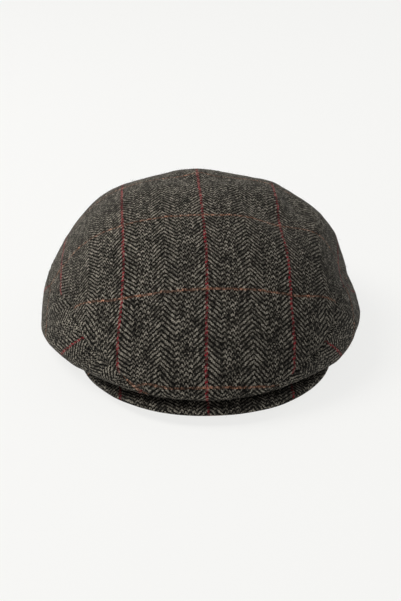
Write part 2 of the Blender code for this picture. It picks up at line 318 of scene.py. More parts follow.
def dent_depth(bearing, up):
    """How far the dents push the cloth in."""
    depth = np.zeros(len(bearing))
    for middle, height, wide, tall, deep in DENTS:
        away = ((bearing - middle + 180) % 360 - 180) / wide
        depth += deep * np.exp(-(away**2) - ((up - height) / tall) ** 2)
    start, span = DENT_FADE
    return depth * (1 - ease((up - start) / span))


def seam_up(bearing):
    """The seam's share up at each bearing, 0 across the front."""
    angle = np.abs((bearing + 180) % 360 - 180)
    return np.where(angle < SEAM[0][0], 0.0, smooth(SEAM, np.maximum(angle, SEAM[0][0]))[:, 0])


def rise_per_share(bearing, up):
    """Metres of cloth for each share of the way up."""
    climb = 0.01
    up = np.clip(up, 0, 1 - climb)
    return np.linalg.norm(draped(bearing, up + climb) - draped(bearing, up), axis=1) / climb


def half_gap(bearing, gap):
    """Half of a gap across the seam as a share up, measured square to the seam's own slope."""
    turn = 0.5
    here = draped(bearing, seam_up(bearing))
    rise = rise_per_share(bearing, seam_up(bearing))
    run = np.linalg.norm(draped(bearing + turn, seam_up(bearing)) - here, axis=1) / turn
    slope = (seam_up(bearing + turn) - seam_up(bearing - turn)) / (2 * turn) * rise / run
    return gap / 2 / rise * np.sqrt(1 + slope**2)


def sewn_lines():
    """Points along every seam of the crown, and each one's length from the seam's start."""
    steps = np.concatenate([np.linspace(*run) for run in SEAM_POINTS])
    climb = np.linspace(0, seam_up(np.array([180.0]))[0], BACK_SEAM_POINTS)
    lines = [(side * steps, seam_up(steps)) for side in (-1, 1)] + [(np.full(len(climb), 180.0), climb)]
    places = [draped(bearing, up) for bearing, up in lines]
    runs = [np.linalg.norm(np.diff(place, axis=0), axis=1) for place in places]
    lengths = [np.concatenate([[0], np.cumsum(run)]) for run in runs]
    return np.concatenate(places), np.concatenate(lengths)


def nearest(points, places):
    """Distance to, and index of, the nearest place for each point."""
    block = 2000
    found = []
    for start in range(0, len(points), block):
        apart = points[start:start + block, None, :] - places[None, :, :]
        square = (apart**2).sum(2)
        index = square.argmin(1)
        found.append(np.stack([np.sqrt(square[np.arange(len(index)), index]), index], 1))
    found = np.concatenate(found)
    return found[:, 0], found[:, 1].astype(int)


def wander(points, *waves):
    """Smooth noise at each point, summed over waves that are given by height, size and seed."""
    total = np.zeros(len(points))
    for height, size, seed in waves:
        offset = Vector((seed * 1.7, seed * 3.1, seed * 5.3))
        total += height * np.array([noise.noise(Vector(point) / size + offset) for point in points])
    return total


def relief(points, cap):
    """How far seams, puckers and soft unevenness lift the cloth off its plain drape."""
    places, lengths = sewn_lines()
    away, index = nearest(points, places)
    widths = away / cap.seam_width
    groove = -cap.seam_depth * np.exp(-(widths**2))
    past = (away - SHOULDER_PLACE * cap.seam_width) / (SHOULDER_WIDTH * cap.seam_width)
    shoulder = cap.seam_depth * SHOULDER_HEIGHT * np.exp(-(past**2))
    phase = 2 * math.pi * lengths[index] / cap.pucker_spacing + wander(points, PUCKER_WAVE)
    fade = np.exp(-away / cap.pucker_reach) * (1 - np.exp(-((away / PUCKER_START) ** 2)))
    pucker = cap.pucker_height * np.sin(phase) * fade
    return groove + shoulder + pucker + cap.unevenness * wander(points, *CROWN_WAVES)


def crown_wall(bearing, up, cap):
    """The finished outer face and the plain inner face of the crown, as two arrays of points."""
    outward = normals(bearing, up)
    plain = draped(bearing, up) - outward * dent_depth(bearing, up)[:, None]
    plain[:, 2] = np.maximum(plain[:, 2], resting_height(plain[:, 0], plain[:, 1]))
    outer = plain + outward * relief(plain, cap)[:, None]
    outer[:, 2] = np.maximum(outer[:, 2], resting_height(outer[:, 0], outer[:, 1]))
    return outer, plain - outward * WALL


def columns_over(spans):
    """Bearings over spans, each given by its two ends and its count of steps."""
    parts = [np.linspace(start, end, count + 1)[:-1] for start, end, count in spans]
    return np.concatenate([*parts, [spans[-1][1]]])


def wall_rows(bearings, ups, cap):
    """The crown's outer and inner points, in one row for each set of shares up."""
    walls = crown_wall(np.tile(bearings, len(ups)), np.concatenate(ups), cap)
    return [wall.reshape(len(ups), len(bearings), 3) for wall in walls]


def coarse_rows(count):
    """Which of the outer wall's rows the plainer inner wall keeps."""
    return np.unique(np.round(np.linspace(0, count - 1, INNER_ROWS)).astype(int))


def in_scene(name, data):
    """A new object in the scene."""
    made = bpy.data.objects.new(name, data)
    bpy.context.scene.collection.objects.link(made)
    return made


def cloth_mesh():
    """An empty bmesh whose faces can hold cloth metres."""
    mesh = bmesh.new()
    mesh.loops.layers.uv.new("cloth")
    return mesh


def mesh_data(name, mesh):
    """Mesh data from a bmesh, which is freed."""
    data = bpy.data.meshes.new(name)
    mesh.to_mesh(data)
    mesh.free()
    return data


def grid_faces(rows, columns, closed):
    """Quads over a grid of points that are numbered row by row."""
    faces = []
    for r in range(rows - 1):
        for c in range(columns if closed else columns - 1):
            d = (c + 1) % columns
            faces.append((r * columns + c, r * columns + d, (r + 1) * columns + d, (r + 1) * columns + c))
    return faces


def unwrapped(name, grid, faces):
    """A least-stretch flat pattern of a mesh, in metres, one UV for each of its vertices."""
    data = bpy.data.meshes.new(name)
    data.from_pydata([tuple(point) for point in grid], [], faces)
    made = in_scene(name, data)
    bpy.context.view_layer.objects.active = made
    made.select_set(True)
    data.uv_layers.new(name="cloth")
    bpy.ops.object.mode_set(mode="EDIT")
    bpy.ops.mesh.select_all(action="SELECT")
    bpy.ops.uv.unwrap(method="MINIMUM_STRETCH", fill_holes=False, correct_aspect=False, iterations=60)
    bpy.ops.object.mode_set(mode="OBJECT")
    data.calc_loop_triangles()
    corners = np.zeros(2 * len(data.loops))
    data.uv_layers["cloth"].uv.foreach_get("vector", corners)
    corners = corners.reshape(-1, 2)
    vertex = np.zeros(len(data.loops), int)
    data.loops.foreach_get("vertex_index", vertex)
    flat = np.zeros((len(grid), 2))
    flat[vertex] = corners
    triangles = np.array([list(t.vertices) for t in data.loop_triangles])
    a, b, c = (np.asarray(grid)[triangles[:, i]] for i in range(3))
    true_area = 0.5 * np.linalg.norm(np.cross(b - a, c - a), axis=1).sum()
    a, b, c = (flat[triangles[:, i]] for i in range(3))
    signed = 0.5 * ((b - a)[:, 0] * (c - a)[:, 1] - (b - a)[:, 1] * (c - a)[:, 0])
    flat *= math.sqrt(true_area / np.abs(signed.sum()))
    if signed.sum() < 0:
        flat[:, 0] *= -1
    bpy.data.objects.remove(made, do_unlink=True)
    bpy.data.meshes.remove(data)
    return flat


def turned_flat(flat, origin, ahead):
    """Move a flat pattern so that origin is at 0, 0 and ahead lies straight up from it."""
    flat = flat - origin
    way = ahead - origin
    way = way / np.linalg.norm(way)
    across = flat[:, 0] * way[1] - flat[:, 1] * way[0]
    return np.stack([across, flat[:, 0] * way[0] + flat[:, 1] * way[1]], 1)


def lookup(table, columns, rows, bearing, share):
    """Read a grid of values at any bearing and share, straight between its points."""
    i = np.clip(np.searchsorted(columns, bearing, side="right") - 1, 0, len(columns) - 2)
    j = np.clip(np.searchsorted(rows, share, side="right") - 1, 0, len(rows) - 2)
    s = ((bearing - columns[i]) / (columns[i + 1] - columns[i]))[:, None]
    t = ((share - rows[j]) / (rows[j + 1] - rows[j]))[:, None]
    return (
        table[i, j] * (1 - s) * (1 - t) + table[i + 1, j] * s * (1 - t)
        + table[i, j + 1] * (1 - s) * t + table[i + 1, j + 1] * s * t
    )


# How the top panel's cloth was pulled before it was cut, in metres of its least-stretch pattern.
# Each row starts with the length ahead of the crown's top, below 0 towards the front.
ACROSS_SCALE = (
    (-0.161, 0.918), (-0.141, 0.932), (-0.107, 0.985), (-0.092, 0.993), (-0.047, 1.035), (0.0, 1.05),
    (0.051, 1.061),
)
CENTRE_LINE = (
    (-0.165, -0.0029), (-0.137, -0.0018), (-0.107, 0.0), (-0.080, 0.0011), (-0.060, 0.0008), (0.0, 0.0),
)
PANE_LINES = (
    (-0.2413, -3), (-0.1745, -2), (-0.1071, -1), (-0.0408, 0), (0.0239, 1), (0.0886, 2), (0.1533, 3),
    (0.218, 4),
)
# Where the lines across sag: place across, place ahead, spread both ways, and how far
SAGS = (
    (-0.098, -0.100, 0.025, 0.035, 0.0107),
    (0.098, -0.100, 0.025, 0.035, 0.0107),
    (-0.085, -0.038, 0.016, 0.025, 0.0035),
    (0.082, -0.036, 0.018, 0.025, 0.0068),
    (-0.047, -0.172, 0.015, 0.015, 0.0043),
)


def grain(flat, pane_length):
    """The woven cloth's own coordinates at places on the top panel's flat pattern."""
    across, ahead = flat[:, 0], flat[:, 1]
    centre = np.interp(ahead, *zip(*CENTRE_LINE))
    scale = np.interp(ahead, *zip(*ACROSS_SCALE))
    length = np.interp(ahead, *zip(*PANE_LINES)) * pane_length
    for place, middle, wide, tall, sag in SAGS:
        length = length - sag * np.exp(-(((across - place) / wide) ** 2) - ((ahead - middle) / tall) ** 2)
    return np.stack([(across - centre) * scale, length], 1)


def top_pattern():
    """The top panel's flat pattern: a function from bearing and share of its height to metres."""
    half = columns_over(TOP_PATTERN_COLUMNS)
    columns = np.concatenate([-half[:0:-1], half[:-1]])
    rows = np.linspace(0, 1, TOP_PATTERN_ROWS + 1)
    foot = seam_up(columns)
    grid = [draped(columns, foot + (1 - foot) * row) for row in rows[:-1]]
    points = np.concatenate(grid + [draped(np.zeros(1), np.ones(1))])
    count = len(columns)
    apex = len(points) - 1
    last = apex - count
    faces = grid_faces(len(grid), count, True)
    faces += [(last + c, last + (c + 1) % count, apex) for c in range(count)]
    flat = unwrapped("top_pattern", points, faces)
    front = np.where(columns == 0)[0][0]
    flat = turned_flat(flat, flat[front], flat[-1])
    flat[:, 1] -= flat[-1, 1]
    table = flat[:-1].reshape(len(grid), count, 2).transpose(1, 0, 2)
    table = np.concatenate([table, np.broadcast_to(flat[-1], (count, 1, 2))], 1)
    table = np.concatenate([table, table[:1]])
    columns = np.append(columns, columns[0] + 360)
    return lambda bearing, share: lookup(table, columns, rows, bearing, share)


class Tree:
    """Adds and links the nodes of one node tree."""

    def __init__(self, tree):
        self.tree = tree

    def put(self, socket, value):
        """Link a socket, or set a number or colour, on an input."""
        if isinstance(value, bpy.types.NodeSocket):
            self.tree.links.new(value, socket)
        else:
            socket.default_value = value

    def fill(self, sockets, values):
        """Link or set several inputs, by name or by place."""
        for name, value in values.items():
            self.put(sockets[name], value)

    def add(self, kind, inputs=(), **settings):
        """A node with its settings and inputs."""
        node = self.tree.nodes.new(kind)
        for name, value in settings.items():
            setattr(node, name, value)
        self.fill(node.inputs, dict(inputs))
        return node

    def math(self, operation, *values):
        """One number from others."""
        return self.add("ShaderNodeMath", enumerate(values), operation=operation).outputs[0]

    def plus(self, first, second):
        """A sum."""
        return self.math("ADD", first, second)

    def minus(self, first, second):
        """A difference."""
        return self.math("SUBTRACT", first, second)

    def times(self, first, second):
        """A product."""
        return self.math("MULTIPLY", first, second)

    def between(self, value, low, high):
        """A number from 0..1 spread to low..high."""
        return self.math("MULTIPLY_ADD", value, high - low, low)

    def vector(self, *parts):
        """A vector from up to three numbers."""
        return self.add("ShaderNodeCombineXYZ", enumerate(parts)).outputs[0]

    def noise(self, place, scale, detail):
        """Noise from 0 to 1, as its number and its colour."""
        return self.add("ShaderNodeTexNoise", {"Vector": place, "Scale": scale, "Detail": detail}).outputs

    def mix(self, share, first, second, blend="MIX"):
        """A colour between two others."""
        node = self.add("ShaderNodeMix", {"Factor": share}, data_type="RGBA", blend_type=blend)
        self.fill(node.inputs, {6: first, 7: second})
        return node.outputs[2]

    def toned(self, colour, tone):
        """A colour made lighter or darker by a number."""
        grey = self.add("ShaderNodeCombineColor", {0: tone, 1: tone, 2: tone}).outputs[0]
        return self.mix(1.0, colour, grey, "MULTIPLY")


def new_group(name, kind, inputs, outputs):
    """An empty node group: its tree, and the sockets of its input and its output node."""
    group = bpy.data.node_groups.new(name, kind)
    for label, holds, *default in inputs:
        socket = group.interface.new_socket(label, in_out="INPUT", socket_type="NodeSocket" + holds)
        if default:
            socket.default_value = default[0]
    for label, holds in outputs:
        group.interface.new_socket(label, in_out="OUTPUT", socket_type="NodeSocket" + holds)
    tree = Tree(group)
    return tree, tree.add("NodeGroupInput").outputs, tree.add("NodeGroupOutput").inputs


def warp_on_top(tree, end, pick):
    """1 where a warp end lies over a weft pick and 0 where it lies under, in a stepped herringbone."""
    place = tree.math("FLOORED_MODULO", end, float(REPEAT_ENDS))
    stepped = tree.minus(place, float(FALL_ENDS))
    level = tree.math("FLOOR", tree.math("DIVIDE", stepped, float(STEP_ENDS)))
    crest = tree.math("COMPARE", tree.math("FLOORED_MODULO", stepped, float(STEP_ENDS)), 1.0, 0.5)
    middle = tree.plus(tree.math("MULTIPLY_ADD", level, 2.0, 2.0 - FALL_ENDS), crest)
    rising = tree.minus(place, float(REPEAT_ENDS - RISE_ENDS + 1))
    past = tree.math("GREATER_THAN", place, FALL_ENDS - 0.5)
    late = tree.math("GREATER_THAN", place, REPEAT_ENDS - RISE_ENDS - 0.5)
    shift = tree.times(place, -1.0)
    shift = tree.plus(shift, tree.times(past, tree.minus(middle, shift)))
    shift = tree.plus(shift, tree.times(late, tree.minus(rising, shift)))
    turn = tree.math("FLOORED_MODULO", tree.minus(pick, shift), float(FLOAT_PICKS))
    return tree.math("LESS_THAN", turn, FLOAT_PICKS / 2 - 0.5)


def pane_line(tree, yarn, spacing):
    """1 on the yarns of an overcheck line, and 0 between the lines."""
    place = tree.math("FLOORED_MODULO", tree.plus(yarn, 1.0), float(spacing))
    return tree.math("LESS_THAN", place, PANE_YARNS - 0.5)


def yarn_tone(tree, own, along, seed):
    """How much lighter or darker a yarn is than its colour, slowly along it and at each crossing."""
    tones = []
    for spread, stretch, place, detail, strength in YARN_TONES:
        spot = tree.vector(tree.times(own, spread), tree.times(along, stretch), seed + place)
        tones.append(tree.times(tree.noise(spot, 1.0, detail)[0], strength))
    return tree.minus(tree.plus(*tones), YARN_MIDDLE)


def bulge(tree, position):
    """A yarn's rounded section, 0 at its edges and 1 along its middle."""
    side = tree.math("MULTIPLY_ADD", tree.math("FRACT", position), 2.0, -1.0)
    height = tree.minus(1.0, tree.times(side, side))
    return tree.math("SQRT", tree.math("MAXIMUM", height, 0.0))


def weave_group():
    """Two-and-two herringbone with a windowpane overcheck and painted shade at yarn edges, from cloth
    metres.
    """
    tree, given, result = new_group(
        "Herringbone",
        "ShaderNodeTree",
        (
            ("Cloth", "Vector"),
            ("End Pitch", "Float", 0.0009),
            ("Pick Pitch", "Float", 0.0009),
            ("Warp Colour", "Color", (0.01, 0.01, 0.01, 1)),
            ("Weft Colour", "Color", (0.2, 0.2, 0.2, 1)),
            ("Pane Warp Colour", "Color", (0.3, 0.0, 0.0, 1)),
            ("Pane Weft Colour", "Color", (0.3, 0.1, 0.0, 1)),
            ("Fleck", "Float", 0.5),
            ("Wobble", "Float", 0.3),
        ),
        (("Colour", "Color"), ("Height", "Float")),
    )
    parts = tree.add("ShaderNodeSeparateXYZ", {0: given["Cloth"]}).outputs
    ends = tree.math("DIVIDE", parts[0], given["End Pitch"])
    picks = tree.math("DIVIDE", parts[1], given["Pick Pitch"])
    wobble = tree.noise(tree.vector(ends, picks), 0.22, 1.0)[1]
    wobble = tree.add("ShaderNodeSeparateColor", {0: wobble}).outputs
    reach = tree.times(given["Wobble"], WOBBLE_YARNS)
    ends = tree.plus(ends, tree.times(reach, tree.minus(wobble[0], 0.5)))
    picks = tree.plus(picks, tree.times(reach, tree.minus(wobble[1], 0.5)))
    end, pick = tree.math("FLOOR", ends), tree.math("FLOOR", picks)
    warp_up = warp_on_top(tree, end, pick)
    weft_up = tree.minus(1.0, warp_up)

    red = pane_line(tree, end, PANE_ENDS)
    warp = tree.mix(red, given["Warp Colour"], given["Pane Warp Colour"])
    fading = tree.noise(tree.vector(ends, tree.times(pick, 3.3)), 0.09, 1.0)[0]
    fading = tree.math("MAXIMUM", tree.math("MULTIPLY_ADD", fading, 3.0, -0.9), RUST_FAINTEST)
    rust = tree.times(pane_line(tree, pick, PANE_PICKS), tree.math("MINIMUM", fading, 1.0))
    weft = tree.mix(rust, given["Weft Colour"], given["Pane Weft Colour"])
    warp_seen = tree.times(warp_up, tree.math("MULTIPLY_ADD", rust, -PANE_FUZZ, 1.0))
    warp_seen = tree.math("MAXIMUM", warp_seen, tree.times(red, PANE_FUZZ))
    plain = tree.mix(warp_seen, weft, warp)

    warp_tone = tree.times(warp_up, yarn_tone(tree, end, picks, 1.0))
    fleck = tree.plus(warp_tone, tree.times(weft_up, yarn_tone(tree, pick, ends, 8.0)))
    streak = tree.noise(tree.vector(ends, tree.times(picks, STREAK_WIDTH), 5.0), 0.5, 1.0)[0]
    fleck = tree.plus(fleck, tree.between(streak, -STREAK_TONE, STREAK_TONE))
    fleck = tree.math("SMOOTH_MIN", fleck, FLECK_LIMIT, 0.5)
    strands = tree.vector(tree.times(ends, FIBRES_PER_YARN), tree.times(picks, FIBRES_PER_YARN))
    fibre = tree.noise(strands, 1.0, 2.0)[0]
    section = tree.plus(tree.times(warp_up, bulge(tree, ends)), tree.times(weft_up, bulge(tree, picks)))
    tone = tree.math("POWER", 2.0, tree.times(fleck, tree.times(given["Fleck"], FLECK_DOUBLINGS)))
    tone = tree.times(tone, tree.between(fibre, 0.5, 1.5))
    # Painted shade: each yarn's colour darkens towards its edges with the roundness of its section; the
    # same section also drives the bump height.
    tone = tree.times(tone, tree.between(section, 0.25, 1.0))
    tree.put(result["Colour"], tree.toned(plain, tone))
    tree.put(result["Height"], tree.plus(section, tree.times(fibre, 0.4)))
    return tree.tree


def new_material(name):
    """A new material, its tree and its shader's inputs."""
    material = bpy.data.materials.new(name)
    material.use_nodes = True
    return material, Tree(material.node_tree), material.node_tree.nodes["Principled BSDF"].inputs


def tweed_material(name, group, cap):
    """Woven wool that reads the piece's own cloth map."""
    _, tree, shader = new_material(name)
    inputs = {
        "Cloth": tree.add("ShaderNodeUVMap", uv_map="cloth").outputs[0],
        "End Pitch": cap.end_pitch,
        "Pick Pitch": cap.pick_pitch,
        "Warp Colour": (*cap.warp_colour, 1),
        "Weft Colour": (*cap.weft_colour, 1),
        "Pane Warp Colour": (*cap.pane_warp_colour, 1),
        "Pane Weft Colour": (*cap.pane_weft_colour, 1),
        "Fleck": cap.fleck,
        "Wobble": cap.wobble,
    }
    weave = tree.add("ShaderNodeGroup", inputs, node_tree=group).outputs
    cloud = tree.noise(tree.add("ShaderNodeTexCoord").outputs["Object"], 32.0, 2.0)[0]
    bump = tree.add("ShaderNodeBump", {"Strength": 0.6, "Distance": 0.0003, "Height": weave["Height"]})
    tree.fill(shader, {
        "Base Color": tree.toned(weave["Colour"], tree.between(cloud, 0.86, 1.14)),
        "Roughness": tree.between(weave["Height"], 0.98, 0.86),
        "Normal": bump.outputs[0],
        "Specular IOR Level": 0.08,
        "Sheen Weight": cap.sheen,
        "Sheen Roughness": 0.3,
        "Sheen Tint": (0.75, 0.70, 0.62, 1),
    })


def lining_material():
    """The plain dark cloth of the inside."""
    _, tree, shader = new_material("lining")
    place = tree.add("ShaderNodeTexCoord").outputs["Object"]
    inputs = {"Vector": place, "Scale": 420.0, "Distortion": 0.4}
    wave = tree.add("ShaderNodeTexWave", inputs, bands_direction="DIAGONAL").outputs[1]
    bump = tree.add("ShaderNodeBump", {"Strength": 0.3, "Distance": 0.0001, "Height": wave})
    tree.fill(shader, {
        "Base Color": tree.mix(wave, (0.012, 0.011, 0.010, 1), (0.022, 0.020, 0.018, 1)),
        "Roughness": tree.between(wave, 0.5, 0.6),
        "Normal": bump.outputs[0],
    })


def finished(name, mesh, materials, node):
    """Turn a closed mesh into a named piece that stands for its CAD node."""
    bmesh.ops.recalc_face_normals(mesh, faces=mesh.faces)
    data = mesh_data(name, mesh)
    data.shade_smooth()
    for material in materials:
        data.materials.append(material)
    made = in_scene(name, data)
    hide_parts(node)
    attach(made, "root")


def cloth_face(mesh, corners, spots, finish=0):
    """One face, with the cloth metres of its corners and the number of its material."""
    layer = mesh.loops.layers.uv["cloth"]
    face = mesh.faces.new(corners)
    face.material_index = finish
    for loop, spot in zip(face.loops, spots):
        loop[layer].uv = spot


def sheet_faces(mesh, rows, cloth, finish=0):
    """Quads between rows of vertices, each row with its cloth metres."""
    for low, high, low_spots, high_spots in zip(rows, rows[1:], cloth, cloth[1:]):
        for i in range(len(low) - 1):
            corners = (low[i], low[i + 1], high[i + 1], high[i])
            spots = (low_spots[i], low_spots[i + 1], high_spots[i + 1], high_spots[i])
            cloth_face(mesh, corners, spots, finish)


def dome(mesh, points, cloth, tip, tip_spot, finish):
    """Closed rows of faces up to one point; gives back the lowest row of vertices."""
    rows = []
    for line in points:
        verts = [mesh.verts.new(point) for point in line[:-1]]
        rows.append(verts + verts[:1])
    sheet_faces(mesh, rows, cloth, finish)
    top = mesh.verts.new(tip)
    last, spots = rows[-1], cloth[-1]
    for i in range(len(last) - 1):
        cloth_face(mesh, (last[i], last[i + 1], top), (spots[i], spots[i + 1], tip_spot), finish)
    return rows[0]


def build_top_panel(cap, materials):
    """One piece from the front hem over the top to the back."""
    half = columns_over(CROWN_COLUMNS)
    bearings = np.concatenate([-half[:0:-1], half])
    seam = seam_up(bearings)
    foot = np.where(np.abs(bearings) > SEAM[0][0], seam + half_gap(bearings, cap.seam_gap), 0.0)
    rise = rise_per_share(bearings, foot)
    ups = [foot + step / rise for step in SEAM_ROWS]
    start = ups[-1]
    ups += [start + (1 - start) * share for share in np.linspace(0, 1, TOP_ROWS + 1)[1:-1]]
    pattern = top_pattern()
    pane_length = PANE_PICKS * cap.pick_pitch
    cloth = [grain(pattern(bearings, (up - seam) / (1 - seam)), pane_length) for up in ups]
    tip_spot = grain(pattern(np.zeros(1), np.ones(1)), pane_length)[0]
    outer, inner = wall_rows(bearings, ups, cap)
    outer_tip, inner_tip = crown_wall(np.zeros(1), np.ones(1), cap)
    kept = coarse_rows(len(ups))
    mesh = cloth_mesh()
    hem = dome(mesh, outer, cloth, outer_tip[0], tip_spot, 0)
    inner_hem = dome(mesh, inner[kept], [cloth[r] for r in kept], inner_tip[0], tip_spot, 1)
    sheet_faces(mesh, (hem, inner_hem), (cloth[0], cloth[0]))
    finished("cap_top_panel", mesh, materials, "top_panel")


def side_pattern(side):
    """A side panel's flat pattern: a function from bearing and share up to metres."""
    columns = columns_over(SIDE_PATTERN_COLUMNS)
    rows = np.linspace(0, 1, SIDE_PATTERN_ROWS + 1)
    head = seam_up(columns)
    grid = np.concatenate([draped(side * columns, head * row) for row in rows])
    faces = [face[::side] for face in grid_faces(len(rows), len(columns), False)]
    flat = unwrapped("side_pattern", grid, faces)
    table = flat.reshape(len(rows), len(columns), 2).transpose(1, 0, 2)

    def spot_at(bearing, up):
        """Metres of the pattern, also at the point in front where the panel has no height."""
        share = up / np.maximum(seam_up(bearing), 1e-6)
        return lookup(table, columns, rows, bearing, share)

    return spot_at


# Each side panel's cloth: side, node, two places on a red line as bearing and share up, and where the
# first place falls between two rust lines. The warp runs from the first place to the second.
SIDE_GRAIN = (
    (-1, "left_side_panel", (57.5, 0.176), (48.5, 0.346), 0.22),
    (1, "right_side_panel", (44.2, 0.330), (51.0, 0.204), 0.45),
)


def build_side_panel(cap, materials, side, node, red_start, red_end, shift):
    """From a point beside the peak, round one side, to the seam at the middle of the back."""
    half = columns_over(CROWN_COLUMNS)
    columns = np.concatenate([[SIDE_START], half[half > SIDE_START + LEAST_STEP]])
    columns[-1] = 180 - math.degrees(cap.seam_gap / 2 / (BACK_Y - MIDDLE_Y))
    head = seam_up(columns) - half_gap(side * columns, cap.seam_gap)
    rise = rise_per_share(side * columns, head)
    total = head * rise
    squeeze = np.minimum(1, total / SHORT_SIDE)
    low = [step * squeeze for step in SEAM_ROWS[:HEM_ROWS]]
    high = [total - step * squeeze for step in SEAM_ROWS[::-1]]
    shares = np.linspace(0, 1, SIDE_ROWS + 1)[1:-1]
    middle = [low[-1] + (high[0] - low[-1]) * share for share in shares]
    ups = [line / rise for line in low + middle + high]
    spot_at = side_pattern(side)
    start, end = (spot_at(np.array([bearing]), np.array([up]))[0] for bearing, up in (red_start, red_end))
    cloth = [turned_flat(spot_at(columns, up), start, end) for up in ups]
    for spots in cloth:
        spots[:, 1] += PANE_PICKS * cap.pick_pitch * shift
    outer, inner = wall_rows(side * columns, ups, cap)
    kept = coarse_rows(len(ups))
    mesh = cloth_mesh()
    rows = [[mesh.verts.new(point) for point in line] for line in outer]
    sheet_faces(mesh, rows, cloth)
    inner_rows = [[mesh.verts.new(point) for point in line] for line in inner[kept]]
    sheet_faces(mesh, inner_rows, [cloth[r] for r in kept], 1)
    for at in (0, -1):
        sheet_faces(mesh, (rows[at], inner_rows[at]), (cloth[at], cloth[at]))
    for at in (0, -1):
        edge = [row[at] for row in rows]
        inside = [row[at] for row in inner_rows]
        close_end(mesh, edge, inside, [spots[at] for spots in cloth], kept)
    finished("cap_" + node, mesh, materials, node)


def close_end(mesh, edge, inside, spots, kept):
    """Join the finely stepped outer edge of a panel to its coarser inner edge."""
    for r, (start, stop) in enumerate(zip(kept, kept[1:])):
        for i in range(start, stop):
            cloth_face(mesh, (edge[i], edge[i + 1], inside[r]), [spots[i]] * 3)
        cloth_face(mesh, (edge[stop], inside[r + 1], inside[r]), [spots[stop]] * 3)


def peak_station(angle):
    """The inner and outer end of the line across the peak at an angle round its half ellipse."""
    turn = math.radians(angle)
    inner_turn = angle / PEAK_END_ANGLE * math.pi / 2
    sine = math.copysign(abs(math.sin(turn)) ** PEAK_SQUARENESS, angle)
    outer_y = TIP_Y - PEAK_FORWARD + PEAK_SWEEP * (1 - math.cos(turn))
    inner_y = FOREHEAD_Y + PEAK_INNER_SWEEP * (1 - math.cos(inner_turn))
    outer = np.array([PEAK_SHIFT + PEAK_WIDTH / 2 * sine, outer_y])
    return np.array([PEAK_INNER_WIDTH / 2 * math.sin(inner_turn), inner_y]), outer


def peak_section(angle):
    """Points over the peak, round its rim and back below, and the cloth's place at each."""
    inner, outer = peak_station(angle)
    past = max(0.0, 1 - (PEAK_END_ANGLE - abs(angle)) / PEAK_NOSE)
    thick = PEAK_THICK * max(PEAK_THINNEST, math.sqrt(1 - past**2))
    radius = thick / 2
    length = np.linalg.norm(outer - inner)
    way = (outer - inner) / length
    flat = np.linspace(0, length - radius, PEAK_ROWS)
    turn = np.linspace(0, math.pi, RIM_ROWS + 1)[1:-1]
    reach = np.concatenate([flat, length - radius + radius * np.sin(turn), flat[::-1]])
    drop = np.concatenate([0 * flat, radius * (1 - np.cos(turn)), 0 * flat + thick])
    plan = inner + way * reach[:, None]
    top = peak_top(plan[:, 0], plan[:, 1])
    points = np.column_stack([plan, top - drop - PEAK_SINK * (PEAK_THICK - thick)])
    below = flat[-1] + radius * math.pi + flat[-1] - flat[::-1]
    wound = np.concatenate([flat, flat[-1] + radius * turn, below])
    return points, inner + way * wound[:, None]


def build_peak(cap, materials):
    """A stiff crescent covered in tweed, with its cloth turned round the rim."""
    angles = np.linspace(-PEAK_END_ANGLE, PEAK_END_ANGLE, PEAK_STATIONS + 1)
    sections, cloth = zip(*(peak_section(angle) for angle in angles))
    points = np.array(sections)
    ripple = cap.unevenness * wander(points.reshape(-1, 3), PEAK_WAVE)
    points[:, :, 2] += ripple.reshape(points.shape[:2])
    cloth = [spots - np.array([cap.peak_offset, TIP_Y - PEAK_CLOTH_AHEAD]) for spots in cloth]
    mesh = cloth_mesh()
    rows = [[mesh.verts.new(point) for point in line] for line in points]
    sheet_faces(mesh, rows, cloth)
    for near, far, spots in zip(rows, rows[1:], cloth):
        cloth_face(mesh, (near[0], far[0], far[-1], near[-1]), [spots[0]] * 4)
    for at in (0, -1):
        ring = rows[at]
        for i in range(PEAK_ROWS + RIM_ROWS // 2 - 1):
            corners = (ring[i], ring[i + 1], ring[-i - 2], ring[-i - 1])
            cloth_face(mesh, list(dict.fromkeys(corners)), [cloth[at][i]] * 4)
    finished("cap_peak", mesh, materials, "peak")


def wool_fibre(thickness):
    """One bent fibre of unit height, standing on the origin, with its thickness as a share of that."""
    mesh = bmesh.new()
    turns = [2 * math.pi * i / FIBRE_SIDES for i in range(FIBRE_SIDES)]
    rings = []
    for step in range(FIBRE_STEPS + 1):
        share = step / FIBRE_STEPS
        lean = FIBRE_LEAN * share**2
        radius = thickness / 2 * (1 - FIBRE_TAPER * share)
        ring = [(radius * math.cos(turn) + lean, radius * math.sin(turn), share) for turn in turns]
        rings.append([mesh.verts.new(point) for point in ring])
    for low, high in zip(rings, rings[1:]):
        for i in range(FIBRE_SIDES):
            j = (i + 1) % FIBRE_SIDES
            mesh.faces.new((low[i], low[j], high[j], high[i]))
    mesh.faces.new(rings[0][::-1])
    mesh.faces.new(rings[-1])
    return in_scene("fibre", mesh_data("fibre", mesh))


